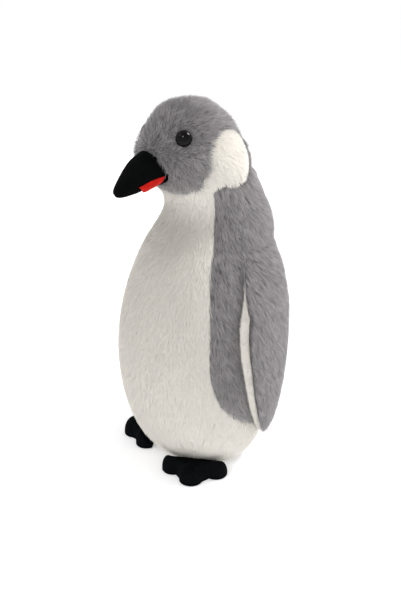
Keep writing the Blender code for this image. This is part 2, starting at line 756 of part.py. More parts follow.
def foot_top(out):
    """Height of the foot's upper surface, low where it slips under the belly."""
    last = len(FOOT_TOP) - 1.02
    return smooth_row(FOOT_TOP, min(max(out / FOOT_TOP_STEP, 0.0), last))[0]


def build_foot(label, side):
    azimuth = math.radians(FOOT_AZIMUTH)
    out_dir = Vector((math.sin(azimuth), -math.cos(azimuth), 0.0))
    across_dir = Vector((math.cos(azimuth), math.sin(azimuth), 0.0))
    tuck = RIGHT_FOOT_TUCK if side < 0 else 0.0
    pivot = add_pivot(f"{label}_foot_pivot", mirrored([FOOT_HINGE], side)[0])
    origin = Vector((FOOT_HINGE.x, FOOT_HINGE.y, 0.0))

    def ring(inset, height, follow=0.0, rear_inset=None):
        """The outline at one level; follow mixes in the upper surface's own height."""
        points = []
        rear_inset = inset if rear_inset is None else rear_inset
        for out, across in foot_outline(inset, rear_inset, tuck):
            z = height + follow * foot_top(out)
            points.append(origin + out_dir * out + across_dir * across + Vector((0.0, 0.0, z)))
        return mirrored(points, side)

    loft(f"foot_sole_{label}", [ring(0.0003, 0.0), ring(0.0, 0.0006), ring(0.0, SOLE)],
         "foot_black", pivot)
    loft(f"foot_pad_{label}", [ring(PAD_WALL + 0.0003, SOLE + GAP, 0.0, PAD_REAR + 0.0004),
                               ring(PAD_WALL + 0.0005, -0.0028, 0.80, PAD_REAR + 0.0006),
                               ring(PAD_WALL + 0.0012, -0.0036, 0.95, PAD_REAR + 0.0014)],
         "stuffing", pivot)
    loft(f"foot_upper_{label}", [ring(PAD_WALL + 0.0008, -0.0012, 0.95, PAD_REAR + 0.0008),
                                 ring(PAD_WALL, -0.0012, 0.80, PAD_REAR),
                                 ring(PAD_WALL, SOLE + GAP, 0.0, PAD_REAR),
                                 ring(0.0, SOLE + GAP),
                                 ring(0.0, 0.0, 0.72),
                                 ring(0.0008, 0.0, 0.92),
                                 ring(0.0026, 0.0, 1.0)], "foot_black", pivot)


# ---- assembly -----------------------------------------------------------------------------
def main():
    clear_scene()
    build_belly()
    build_base()
    build_crown()
    core("pellet_bag", PELLET_BAG, "pellets")
    core("torso_stuffing", TORSO_CORE, "stuffing")
    head_core = core("head_stuffing", HEAD_CORE, "stuffing")
    build_beak()
    for label, side in (("left", 1), ("right", -1)):
        face = build_side(label, side)
        build_eye(label, side, face, head_core)
        build_flipper(label, side)
        build_foot(label, side)


main()
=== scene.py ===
import math
import bpy
import numpy as np
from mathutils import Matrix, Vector
from mathutils.bvhtree import BVHTree
from mathutils.interpolate import poly_3d_calc
from mathutils.kdtree import KDTree


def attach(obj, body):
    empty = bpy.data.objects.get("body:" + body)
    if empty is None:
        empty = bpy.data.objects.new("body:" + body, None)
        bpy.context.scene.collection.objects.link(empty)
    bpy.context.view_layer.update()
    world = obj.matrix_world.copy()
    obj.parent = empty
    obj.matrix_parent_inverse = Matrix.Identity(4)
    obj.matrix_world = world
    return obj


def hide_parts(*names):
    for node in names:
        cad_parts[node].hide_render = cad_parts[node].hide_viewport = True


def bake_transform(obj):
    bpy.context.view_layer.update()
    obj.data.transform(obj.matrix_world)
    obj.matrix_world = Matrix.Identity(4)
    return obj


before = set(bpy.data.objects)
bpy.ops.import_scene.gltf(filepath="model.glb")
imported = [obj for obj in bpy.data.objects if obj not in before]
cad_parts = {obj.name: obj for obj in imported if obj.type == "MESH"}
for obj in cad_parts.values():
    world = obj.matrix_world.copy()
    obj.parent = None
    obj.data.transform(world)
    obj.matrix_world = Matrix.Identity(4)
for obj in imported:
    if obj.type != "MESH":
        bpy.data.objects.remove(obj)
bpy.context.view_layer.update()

# ---- driving dimensions, in metres ----
ORIGIN_Y = 0.00818          # how far behind the overall box's middle the body's own axis is
FINE = 3                    # steps of these grids to one step of the CAD's
SIDES = (("left", 1), ("right", -1))
# Body outline from the ground up: height, half width, reach to the front and to the back.
BODY = (
    (0.0000, 0.0240, 0.0215, 0.0180),
    (0.0035, 0.0350, 0.0305, 0.0270),
    (0.0180, 0.0468, 0.0440, 0.0360),
    (0.0450, 0.0555, 0.0535, 0.0425),
    (0.0800, 0.0580, 0.0562, 0.0470),
    (0.1150, 0.0545, 0.0505, 0.0490),
    (0.1450, 0.0460, 0.0390, 0.0485),
    (0.1700, 0.0390, 0.0215, 0.0440),
    (0.1860, 0.0345, 0.0235, 0.0375),
    (0.1980, 0.0345, 0.0385, 0.0325),
    (0.2120, 0.0335, 0.0435, 0.0285),
    (0.2280, 0.0272, 0.0385, 0.0185),
    (0.2380, 0.0200, 0.0300, 0.0090),
    (0.2432, 0.0115, 0.0220, 0.0005),
    (0.2452, 0.0000, 0.0105, -0.0105),
)
HEAD_CENTRE = Vector((0.0, -0.005, 0.213))
SHOULDER_Z = 0.1560         # height of the shoulder seam
NAPE_Z = 0.2040             # height of the neck seam at the back

# White cheek, an oval on the side of the head, as seen from the side.
CHEEK_Y = 0.0003
CHEEK_Z = 0.2125
CHEEK_HALF_Y = 0.0187
CHEEK_HALF_Z = 0.0172

BEAK_HALF_WIDTH = 0.0158
BEAK_BASE_Z = 0.2050
BEAK_BASE_HALF_Z = 0.0112

# Flipper outline from the shoulder to the tip: height, front edge, rear edge.
FLIPPER = (
    (0.1545, -0.0030, 0.0300),
    (0.1400, -0.0055, 0.0325),
    (0.1260, -0.0105, 0.0325),
    (0.1120, -0.0150, 0.0320),
    (0.0960, -0.0155, 0.0315),
    (0.0780, -0.0130, 0.0295),
    (0.0600, -0.0095, 0.0255),
    (0.0450, -0.0050, 0.0200),
    (0.0350, 0.0000, 0.0150),
    (0.0300, 0.0045, 0.0110),
)
FOOT_AZIMUTH = 42.0         # where each foot points, measured from straight ahead
FOOT_HINGE = Vector((0.0252, -0.0222, 0.0010))
FOOT_REAR = 0.0010          # how far in front of its hinge the pad starts
LOBE_RADIUS = 0.0080
LOBE_SPREAD = 0.0147
REAR_HALF_WIDTH = 0.0105
SIDE_LOBE_OUT = 0.0110
MIDDLE_LOBE_OUT = 0.0222
RIGHT_FOOT_TUCK = 0.0048    # the right foot shows this much less than the left one
EYE_Z = 0.2255
EYE_PHI = 48.6

# ---- the body's surface ----
def smooth_row(rows, t):
    """Catmull-Rom interpolation along a tuple of rows, at row number t."""
    last = len(rows) - 1
    i = min(max(int(math.floor(t)), 0), last - 1)
    u = t - i
    b, c = rows[i], rows[i + 1]
    a = rows[i - 1] if i > 0 else [2 * x - y for x, y in zip(b, c)]
    d = rows[i + 2] if i + 2 <= last else [2 * y - x for x, y in zip(b, c)]
    return [
        0.5 * (2 * q + (r - p) * u + (2 * p - 5 * q + 4 * r - s) * u * u
               + (3 * q - p - 3 * r + s) * u ** 3)
        for p, q, r, s in zip(a, b, c, d)
    ]


def body_point(t, phi, inset=0.0):
    """Point on the body at row number t. phi is 0 in front and grows towards the left side."""
    z, half, front, back = smooth_row(BODY, t)
    half = max(half - inset, 0.0)
    reach = max(0.5 * (front + back) - inset, 0.0)
    return Vector((half * math.sin(phi), 0.5 * (back - front) - reach * math.cos(phi), z))


def row_at(height):
    """Row number of the body's outline at a height."""
    low, high = 0.0, len(BODY) - 1.0
    for _ in range(40):
        middle = 0.5 * (low + high)
        if smooth_row(BODY, middle)[0] < height:
            low = middle
        else:
            high = middle
    return 0.5 * (low + high)


def body_at(phi_deg, height, inset=0.0):
    return body_point(row_at(height), math.radians(phi_deg), inset)


class Skin:
    """The body's outer surface as a fine closed mesh, for projecting points onto it."""

    def __init__(self, rows=150, columns=144):
        self.verts = []
        self.faces = []
        top = len(BODY) - 1.0
        for i in range(rows):
            for j in range(columns):
                self.verts.append(body_point(top * i / rows, 2 * math.pi * j / columns))
        for i in range(rows - 1):
            for j in range(columns):
                k = (j + 1) % columns
                self.faces.append((i * columns + j, i * columns + k,
                                   (i + 1) * columns + k, (i + 1) * columns + j))
        self.faces.append(tuple((rows - 1) * columns + j for j in range(columns)))
        self.faces.append(tuple(reversed(range(columns))))
        self.tree = BVHTree.FromPolygons(self.verts, self.faces)
        self.normals = [Vector() for _ in self.verts]
        for face in self.faces[:-2]:
            p, q, r, s = (self.verts[k] for k in face)
            area = (r - p).cross(s - q)
            for k in face:
                self.normals[k] += area
        for n in self.normals:
            n.normalize()

    def normal(self, point):
        place, flat, index, _ = self.tree.find_nearest(point)
        face = self.faces[index]
        if len(face) > 4:
            return flat
        weights = poly_3d_calc([self.verts[k] for k in face], place)
        total = Vector()
        for w, k in zip(weights, face):
            total += self.normals[k] * w
        return total.normalized()

    def cast(self, start, direction):
        return self.tree.ray_cast(start, direction)[0]

    def from_front(self, x, z):
        return self.cast(Vector((x, -0.2, z)), Vector((0.0, 1.0, 0.0)))

    def from_side(self, y, z):
        return self.cast(Vector((0.2, y, z)), Vector((-1.0, 0.0, 0.0)))

    def from_head(self, point):
        return self.cast(HEAD_CENTRE, (point - HEAD_CENTRE).normalized())


SKIN_SURFACE = Skin()


# ---- curves ----
def resample(points, count):
    """The same curve as count equal steps along its length."""
    lengths = [0.0]
    for p, q in zip(points, points[1:]):
        lengths.append(lengths[-1] + (Vector(q) - Vector(p)).length)
    out = []
    k = 0
    for i in range(count + 1):
        want = lengths[-1] * i / count
        while k < len(lengths) - 2 and lengths[k + 1] < want:
            k += 1
        span = max(lengths[k + 1] - lengths[k], 1e-12)
        f = min(max((want - lengths[k]) / span, 0.0), 1.0)
        out.append(Vector(points[k]).lerp(Vector(points[k + 1]), f))
    return out


def seam(knots, count, fine=60):
    """A seam through knots given as (phi in degrees, height), laid on the body."""
    dense = [body_at(*smooth_row(knots, (len(knots) - 1) * i / fine)) for i in range(fine + 1)]
    return resample(dense, count)


def join(*curves):
    """Curves laid end to end, each sharing its first point with the last one's end."""
    out = list(curves[0])
    for curve in curves[1:]:
        out += curve[1:]
    return out


def reflect(curve):
    """The same curve on the other side."""
    return [Vector((-p.x, p.y, p.z)) for p in curve]


def mirror_join(half):
    """A curve from the right side to the left, from its left half, which starts in the middle."""
    return reflect(half[:0:-1]) + half


# ---- seams ----
NECK_CORNER = (62.0, 0.1925)
FACE_CORNER = (50.0, 0.1960)
NAPE_CORNER = (162.0, NAPE_Z)
HIDDEN_PHI = 104.0          # the seam behind the flipper

BELLY_SIDE = seam(((68, 0.058), (60, 0.078), (58, 0.104), (56, 0.130), (52, SHOULDER_Z)), 6 * FINE)
NECK_SIDE = seam(((52, SHOULDER_Z), (46, 0.172), (52, 0.184), NECK_CORNER), 4 * FINE)
FACE_FRONT = seam(((0, 0.1885), (16, 0.1895), (34, 0.1920), FACE_CORNER), 5 * FINE)
CHEEK_CORNER = seam((FACE_CORNER, NECK_CORNER), 1 * FINE)
SHOULDER_SIDE = seam(((52, SHOULDER_Z), (HIDDEN_PHI, SHOULDER_Z)), 5 * FINE)
SHOULDER_BACK = seam(((HIDDEN_PHI, SHOULDER_Z), (180, SHOULDER_Z)), 5 * FINE)
HIDDEN_SIDE = seam(((HIDDEN_PHI, 0.038), (HIDDEN_PHI, 0.078), (HIDDEN_PHI, 0.116),
                    (HIDDEN_PHI, SHOULDER_Z)), 6 * FINE)
BASE_FRONT = seam(((0, 0.0075), (26, 0.0085), (48, 0.018), (62, 0.040), (68, 0.058)), 6 * FINE)
BASE_SIDE = seam(((68, 0.058), (80, 0.047), (92, 0.041), (HIDDEN_PHI, 0.038)), 5 * FINE)
BASE_BACK = seam(((HIDDEN_PHI, 0.038), (142, 0.033), (180, 0.031)), 5 * FINE)
BACK_LOW = seam(((180, 0.031), (180, 0.070), (180, 0.110), (180, SHOULDER_Z)), 6 * FINE)
BACK_HIGH = seam(((180, SHOULDER_Z), (180, 0.180), (180, NAPE_Z)), 4 * FINE)
NAPE_BACK = seam((NAPE_CORNER, (180, NAPE_Z)), 1 * FINE)


def cheek_points(start, end, step):
    """Points on the cheek's oval. The angle is 0 at its front, 90 at its top, 180 at its rear."""
    points = []
    for angle in range(start, end, step):
        a = math.radians(angle)
        points.append(SKIN_SURFACE.from_side(CHEEK_Y - CHEEK_HALF_Y * math.cos(a),
                                             CHEEK_Z + CHEEK_HALF_Z * math.sin(a)))
    return points


CHEEK_FRONT = resample([body_at(*FACE_CORNER), body_at(60.0, 0.2005)] + cheek_points(-8, 46, 7),
                       5 * FINE)
CHEEK_TOP = resample([CHEEK_FRONT[-1]] + cheek_points(50, 138, 4), 5 * FINE)
CHEEK_REAR = resample([CHEEK_TOP[-1]] + cheek_points(142, 216, 7), 5 * FINE)
CHEEK_LOW = resample([body_at(*NECK_CORNER)] + cheek_points(296, 214, -6) + [CHEEK_REAR[-1]],
                     4 * FINE)
NAPE_STEPS = 5 * FINE
NAPE_FACE = [CHEEK_REAR[-1].lerp(body_at(*NAPE_CORNER), i / NAPE_STEPS)
             for i in range(NAPE_STEPS + 1)]
NAPE_FACE = [NAPE_FACE[0]] + [SKIN_SURFACE.from_head(p) for p in NAPE_FACE[1:-1]] + [NAPE_FACE[-1]]


def opening_points(start, end, step):
    """Points on the opening that the beak is sewn over. The angle is 0 at the top, 180 below."""
    points = []
    for angle in range(start, end, step):
        a = math.radians(angle)
        points.append(SKIN_SURFACE.from_front(BEAK_HALF_WIDTH * math.sin(a),
                                              BEAK_BASE_Z + BEAK_BASE_HALF_Z * math.cos(a)))
    return points


BEAK_SIDE = resample(opening_points(180, 35, -5), 4 * FINE)
CHIN = resample([FACE_FRONT[0], BEAK_SIDE[0]], FINE)


def gusset_edge(count=10 * FINE, fine=80):
    """The crown strip's edge, from the beak's opening over the crown to the nape."""
    start, end = BEAK_SIDE[-1], body_at(*NAPE_CORNER)
    first = math.atan2(start.z - HEAD_CENTRE.z, HEAD_CENTRE.y - start.y)
    last = math.pi - math.atan2(end.z - HEAD_CENTRE.z, end.y - HEAD_CENTRE.y)
    points = [start]
    for i in range(1, fine):
        f = i / fine
        angle = first + (last - first) * f
        out = Vector((0.0, -math.cos(angle), math.sin(angle)))
        middle = HEAD_CENTRE + Vector((start.x + (end.x - start.x) * f, 0, 0))
        points.append(SKIN_SURFACE.cast(middle, out))
    points.append(end)
    return resample(points, count)


GUSSET_SIDE = gusset_edge()
BROW = resample(opening_points(35, -1, -5), FINE)



# ---- arrays ----
def as_grid(rows):
    return np.array([[tuple(p) for p in line] for line in rows])


def grid_normals(grid):
    """Unit normals of a grid of points, away from the body's axis."""
    along = np.gradient(grid, axis=1)
    up = np.gradient(grid, axis=0)
    n = np.cross(along, up)
    n /= np.maximum(np.linalg.norm(n, axis=2, keepdims=True), 1e-12)
    return n


def unit(v):
    return v / np.maximum(np.linalg.norm(v, axis=-1, keepdims=True), 1e-12)


def edge_distance(grid):
    """How far each point of a grid is from the grid's own edges."""
    edge = np.concatenate([grid[0], grid[-1], grid[:, 0], grid[:, -1]])
    flat = grid.reshape(-1, 3)
    d = np.linalg.norm(flat[:, None, :] - edge[None, :, :], axis=2).min(axis=1)
    return d.reshape(grid.shape[:2])


def mirror_grid(grid):
    """The same grid on the other side, turned so that its normals still point out."""
    return (grid * np.array([-1.0, 1.0, 1.0]))[:, ::-1]


def make_object(name, verts, faces, mat, smooth=True):
    mesh = bpy.data.meshes.new(name)
    verts = np.asarray(verts, float) + np.array([0.0, ORIGIN_Y, 0.0])
    mesh.from_pydata(verts.tolist(), [], [tuple(int(i) for i in f) for f in faces])
    mesh.validate()
    ob = bpy.data.objects.new(name, mesh)
    bpy.context.scene.collection.objects.link(ob)
    mesh.materials.append(mat)
    if smooth:
        mesh.shade_smooth()
    return ob


def shell(name, grid, mat, thickness=0.0012, normals=None):
    """A closed skin: a grid outside, and the same grid one thickness further in."""
    rows, columns = grid.shape[:2]
    if normals is None:
        normals = grid_normals(grid)
    inner = grid - normals * thickness
    verts = np.concatenate([grid.reshape(-1, 3), inner.reshape(-1, 3)])
    count = rows * columns
    faces = []
    for j in range(rows - 1):
        for i in range(columns - 1):
            a = j * columns + i
            quad = (a, a + 1, a + 1 + columns, a + columns)
            faces.append(quad)
            faces.append(tuple(k + count for k in reversed(quad)))
    ring = list(range(columns))
    ring += [j * columns + columns - 1 for j in range(1, rows)]
    ring += [(rows - 1) * columns + i for i in range(columns - 2, -1, -1)]
    ring += [j * columns for j in range(rows - 2, 0, -1)]
    for a, b in zip(ring, ring[1:] + ring[:1]):
        faces.append((a, a + count, b + count, b))
    return make_object(name, verts, faces, mat)


def loft(name, loops, mat):
    """A closed piece through loops of equal size, capped at both ends."""
    size = len(loops[0])
    verts = [tuple(p) for loop in loops for p in loop]
    faces = [tuple(reversed(range(size)))]
    for k in range(len(loops) - 1):
        for i in range(size):
            j = (i + 1) % size
            a = k * size
            faces.append((a + i, a + j, a + j + size, a + i + size))
    faces.append(tuple((len(loops) - 1) * size + i for i in range(size)))
    return make_object(name, verts, faces, mat)


# ---- materials ----
class Nodes:
    """A material and short ways to add nodes to it."""

    def __init__(self, name, roughness, base=None):
        self.mat = bpy.data.materials.new(name)
        self.mat.use_nodes = True
        self.tree = self.mat.node_tree
        self.shader = self.tree.nodes["Principled BSDF"]
        self.shader.inputs["Roughness"].default_value = roughness
        if base is not None:
            self.shader.inputs["Base Color"].default_value = (*base, 1.0)

    def add(self, kind, **values):
        node = self.tree.nodes.new(kind)
        for key, value in values.items():
            setattr(node, key, value)
        return node

    def link(self, out, into):
        self.tree.links.new(out, into)

    def noise(self, scale, detail=3.0, roughness=0.6):
        place = self.add("ShaderNodeTexCoord")
        noise = self.add("ShaderNodeTexNoise")
        noise.inputs["Scale"].default_value = scale
        noise.inputs["Detail"].default_value = detail
        noise.inputs["Roughness"].default_value = roughness
        self.link(place.outputs["Object"], noise.inputs["Vector"])
        return noise.outputs["Fac"]

    def ramp(self, fac, stops):
        ramp = self.add("ShaderNodeValToRGB")
        ramp.color_ramp.elements[0].position = stops[0][0]
        ramp.color_ramp.elements[0].color = (*stops[0][1], 1.0)
        ramp.color_ramp.elements[1].position = stops[-1][0]
        ramp.color_ramp.elements[1].color = (*stops[-1][1], 1.0)
        for place, colour in stops[1:-1]:
            element = ramp.color_ramp.elements.new(place)
            element.color = (*colour, 1.0)
        self.link(fac, ramp.inputs["Fac"])
        return ramp.outputs["Color"]

    def multiply(self, a, b):
        mix = self.add("ShaderNodeMix", data_type="RGBA", blend_type="MULTIPLY")
        mix.inputs["Factor"].default_value = 1.0
        self.link(a, mix.inputs["A"])
        self.link(b, mix.inputs["B"])
        return mix.outputs["Result"]

    def bump(self, height, strength, distance):
        bump = self.add("ShaderNodeBump")
        bump.inputs["Strength"].default_value = strength
        bump.inputs["Distance"].default_value = distance
        self.link(height, bump.inputs["Height"])
        self.link(bump.outputs["Normal"], self.shader.inputs["Normal"])

    def sheen(self, weight, roughness=0.5, tint=(1.0, 1.0, 1.0)):
        self.shader.inputs["Sheen Weight"].default_value = weight
        self.shader.inputs["Sheen Roughness"].default_value = roughness
        self.shader.inputs["Sheen Tint"].default_value = (*tint, 1.0)


def grey(v):
    return (v, v, v)


def pile_material(name, root, tip, spread, patch=0.06):
    """Pile strands: dark at the root and pale at the tip, painted shade for the depth of the pile, each
    a little different, in soft patches.
    """
    n = Nodes(name, 0.9)
    data = n.add("ShaderNodeAttribute", attribute_name="pile")
    split = n.add("ShaderNodeSeparateColor")
    n.link(data.outputs["Color"], split.inputs["Color"])
    middle = tuple(0.35 * a + 0.65 * b for a, b in zip(root, tip))
    along = n.ramp(split.outputs["Red"], ((0.0, root), (0.45, middle), (1.0, tip)))
    each = n.ramp(split.outputs["Green"], ((0.0, grey(1.0 - spread)), (1.0, grey(1.0))))
    patches = n.ramp(n.noise(90.0), ((0.3, grey(1.0 - patch)), (0.7, grey(1.0))))
    n.link(n.multiply(n.multiply(along, each), patches), n.shader.inputs["Base Color"])
    n.shader.inputs["Specular IOR Level"].default_value = 0.25
    n.sheen(0.25, 0.4)
    return n.mat


def backing_material(name, low, high, scale=700.0):
    """The short underpile on a panel, seen between the strands: darker than its pile's tips, painted
    shade deep in the pile.
    """
    n = Nodes(name, 0.95)
    n.link(n.ramp(n.noise(scale, 4.0), ((0.3, low), (0.7, high))), n.shader.inputs["Base Color"])
    n.bump(n.noise(scale * 1.7, 3.0), 0.6, 0.0008)
    n.sheen(0.2)
    return n.mat


def velour_material(name, low, high, sheen=0.3, tint=(1.0, 1.0, 1.0)):
    """Short dense velour: tiny fibre ends, and broad soft patches where the nap lies over."""
    n = Nodes(name, 0.92)
    fibres = n.ramp(n.noise(2600.0, 2.0, 0.7), ((0.35, low), (0.75, high)))
    nap = n.ramp(n.noise(140.0, 3.0), ((0.3, grey(0.72)), (0.7, grey(1.0))))
    n.link(n.multiply(fibres, nap), n.shader.inputs["Base Color"])
    n.bump(n.noise(1900.0, 3.0), 0.55, 0.0005)
    n.shader.inputs["Specular IOR Level"].default_value = 0.03
    n.sheen(sheen, 0.45, tint)
    return n.mat


def plain_material(name, low, high, roughness, scale, bump):
    n = Nodes(name, roughness)
    n.link(n.ramp(n.noise(scale, 3.0), ((0.3, low), (0.7, high))), n.shader.inputs["Base Color"])
    n.bump(n.noise(scale, 3.0), 0.3, bump)
    return n.mat


# The first colour of each pile is painted at its root: the grey and white piles' darker roots are
# painted shade deep in the pile.
GREY_PILE = pile_material("grey_pile", (0.095, 0.090, 0.091), (0.53, 0.506, 0.510), 0.58)
WHITE_PILE = pile_material("white_pile", (0.74, 0.71, 0.66), (0.87, 0.84, 0.78), 0.08, 0.03)
LINING_PILE = pile_material("lining_pile", (0.74, 0.71, 0.66), (0.70, 0.67, 0.62), 0.08, 0.03)
# The grey and white backings are as dark as their piles' roots: painted shade seen between the strands.
GREY_BACKING = backing_material("grey_backing", (0.10, 0.096, 0.095), (0.20, 0.19, 0.187))
WHITE_BACKING = backing_material("white_backing", (0.74, 0.71, 0.66), (0.86, 0.83, 0.785))
LINING = backing_material("lining_plush", (0.56, 0.53, 0.49), (0.70, 0.67, 0.625), 1100.0)
BEAK_BLACK = velour_material("beak_velour", grey(0.0008), (0.0045, 0.0052, 0.0056), 0.0)
BEAK_RED = velour_material("red_velour", (0.40, 0.006, 0.004), (0.72, 0.022, 0.014), 0.25,
                           (1.0, 0.5, 0.45))
FOOT_BLACK = velour_material("foot_velour", grey(0.0015), (0.0068, 0.0090, 0.0110), 0.0)


def eye_material():
    """Moulded gloss plastic with a dark brown core under it and faint wipe marks."""
    n = Nodes("eye_gloss", 0.05)
    core = n.ramp(n.noise(260.0, 2.0),
                  ((0.3, (0.0012, 0.0012, 0.0014)), (0.7, (0.005, 0.0042, 0.0042))))
    n.link(core, n.shader.inputs["Base Color"])
    n.bump(n.noise(900.0, 2.0), 0.02, 0.0002)
    n.shader.inputs["Specular IOR Level"].default_value = 0.12
    return n.mat


EYE_GLOSS = eye_material()
FILLING = plain_material("filling", grey(0.72), grey(0.9), 1.0, 400.0, 0.001)
PELLETS = plain_material("pellet_cloth", (0.55, 0.53, 0.48), (0.68, 0.65, 0.6), 0.8, 500.0, 0.001)
WASHER = plain_material("washer_plastic", grey(0.68), grey(0.78), 0.4, 300.0, 0.0001)

for _name, _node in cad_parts.items():
    _mat = FILLING
    if "washer" in _name:
        _mat = WASHER
    elif "pellet" in _name:
        _mat = PELLETS
    for _slot in _node.material_slots:
        _slot.material = _mat


# ---- pile ----
def steady_normals(grid):
    """A grid's normals, with the body's own where a squeezed corner turns one away."""
    normals = grid_normals(grid)
    body = np.array([[tuple(SKIN_SURFACE.normal(Vector(p))) for p in line] for line in grid])
    astray = (normals * body).sum(axis=2) < 0.75
    normals[astray] = body[astray]
    return normals


def scatter(grid, per_mm2, rng, normals=None):
    """Roots spread evenly over a grid: places, normals and their (u, v) on it."""
    if normals is None:
        normals = grid_normals(grid)
    p00, p10, p01, p11 = grid[:-1, :-1], grid[:-1, 1:], grid[1:, :-1], grid[1:, 1:]
    area = 0.5 * np.linalg.norm(np.cross(p11 - p00, p01 - p10), axis=2)
    total = area.sum() * 1e6
    count = int(total * per_mm2)
    flat = rng.choice(area.size, count, p=(area / area.sum()).ravel())
    j, i = np.divmod(flat, area.shape[1])
    u, v = rng.random(count), rng.random(count)

    def at(field):
        return (field[j, i] * ((1 - u) * (1 - v))[:, None] + field[j, i + 1] * (u * (1 - v))[:, None]
                + field[j + 1, i] * ((1 - u) * v)[:, None] + field[j + 1, i + 1] * (u * v)[:, None])

    uv = np.stack([(i + u) / area.shape[1], (j + v) / area.shape[0]], axis=1)
    return at(grid), unit(at(normals)), uv


def strands(name, roots, normals, uv, flow, length, lift, mat, rng, width=0.00025, clump=0.5,
            clump_every=26, wild=0.22, floor=None):
    """Pile as thin tapering strands that stand up, lean along flow and gather into small locks."""
    count = len(roots)
    length = np.broadcast_to(length, count) * rng.uniform(0.75, 1.12, count)
    lift = np.broadcast_to(lift, count)
    flow = unit(flow - normals * (flow * normals).sum(axis=1, keepdims=True))
    across = np.cross(normals, flow)
    lean = np.sqrt(np.maximum(1.0 - lift ** 2, 0.0))
    rise = lift * rng.uniform(0.7, 1.25, count)
    sway = rng.normal(0.0, wild, count)
    tip = normals * rise[:, None] + flow * lean[:, None] + across * sway[:, None]
    tip = tip * length[:, None]
    centres = np.arange(0, count, clump_every)
    tree = KDTree(len(centres))
    for k, c in enumerate(centres):
        tree.insert(roots[c], k)
    tree.balance()
    near = centres[np.array([tree.find(p)[1] for p in roots])]
    swirl = rng.normal(0.0, wild * 1.3, count)[near]
    gather = (roots[near] - roots) + across * (swirl * length)[:, None]
    high = rise * length
    middle = roots + normals * (high * 0.62)[:, None] + (tip - normals * high[:, None]) * 0.42
    middle += gather * clump * 0.35
    end = roots + tip + gather * clump
    start = roots - normals * 0.0006
    if floor is not None:
        middle[:, 2] = np.maximum(middle[:, 2], floor)
        end[:, 2] = np.maximum(end[:, 2], floor)
    direction = unit(end - start)
    side = unit(np.cross(direction, normals) + 0.45 * rng.normal(0, 1, (count, 3)) * 0.5)
    half = side * (width * 0.5 * rng.uniform(0.8, 1.25, count))[:, None]
    upper = half * 0.85
    verts = np.stack([start - half, start + half, middle - upper, middle + upper, end], axis=1)
    verts = verts.reshape(-1, 3) + np.array([0.0, ORIGIN_Y, 0.0])
    mesh = bpy.data.meshes.new(name)
    mesh.vertices.add(len(verts))
    mesh.vertices.foreach_set("co", verts.ravel())
    base = np.arange(count)[:, None] * 5
    loops = (base + np.array([0, 1, 3, 2, 2, 3, 4])[None, :]).ravel()
    mesh.loops.add(len(loops))
    mesh.loops.foreach_set("vertex_index", loops.astype(np.int32))
    mesh.polygons.add(count * 2)
    starts = (np.arange(count)[:, None] * 7 + np.array([0, 4])[None, :]).ravel()
    mesh.polygons.foreach_set("loop_start", starts.astype(np.int32))
    mesh.polygons.foreach_set("use_smooth", np.ones(count * 2, bool))
    mesh.update(calc_edges=True)
    mesh.materials.append(mat)
    shade = rng.random(count)
    shade = 0.75 * shade + 0.25 * rng.random(count)[near]
    colour = np.zeros((count, 5, 4), np.float32)
    # red runs from 0 at the root to 1 at the tip; the pile material paints the root end darker as shade
    # deep in the pile
    colour[:, :, 0] = np.array([0.0, 0.0, 0.5, 0.5, 1.0])
    colour[:, :, 1] = shade[:, None]
    colour[:, :, 3] = 1.0
    layer = mesh.color_attributes.new("pile", "FLOAT_COLOR", "POINT")
    layer.data.foreach_set("color", colour.ravel())
    layout = mesh.uv_layers.new(name="OFBake")
    spot = 0.004
    corners = np.array([[0, 0], [1, 0], [1, 0.5], [0, 0.5], [0, 0.5], [1, 0.5], [0.5, 1]]) * spot
    flat_uv = uv[:, None, :] * (1.0 - spot) + corners[None, :, :]
    layout.data.foreach_set("uv", flat_uv.astype(np.float32).ravel())
    ob = bpy.data.objects.new(name, mesh)
    bpy.context.scene.collection.objects.link(ob)
    return ob


def coons(bottom, right, top, left, place):
    """Grid between four curves. bottom and top run left to right, left and right run upwards."""
    columns, rows = len(bottom) - 1, len(left) - 1
    grid = []
    for j in range(rows + 1):
        v = j / rows
        line = []
        for i in range(columns + 1):
            u = i / columns
            p = bottom[i] * (1 - v) + top[i] * v + left[j] * (1 - u) + right[j] * u
            p = p - bottom[0] * ((1 - u) * (1 - v)) - bottom[-1] * (u * (1 - v))
            p = p - top[0] * ((1 - u) * v) - top[-1] * (u * v)
            edge = i in (0, columns) or j in (0, rows)
            line.append(p if edge else place(p))
        grid.append(line)
    return grid


def on_torso(point):
    """Moves a point level with itself, out from the body's axis, onto the skin."""
    t = row_at(point.z)
    _, half, front, back = smooth_row(BODY, t)
    y = point.y - 0.5 * (back - front)
    return body_point(t, math.atan2(point.x / half, -y / (0.5 * (front + back))))



# ---- body panels ----
SEAM_SINK = 0.0016          # how far the stitching pulls a seam in
SEAM_WIDTH = 0.0042         # over what width
EYE_DIMPLE = 0.0020         # how far an eye pulls the face in
DIMPLE_RADIUS = 0.0075
CLOTH_PRESSURE = 4.0
CLOTH_STEPS = 16
CLOTH_CAP = 0.0022          # the furthest that the simulation may move a point


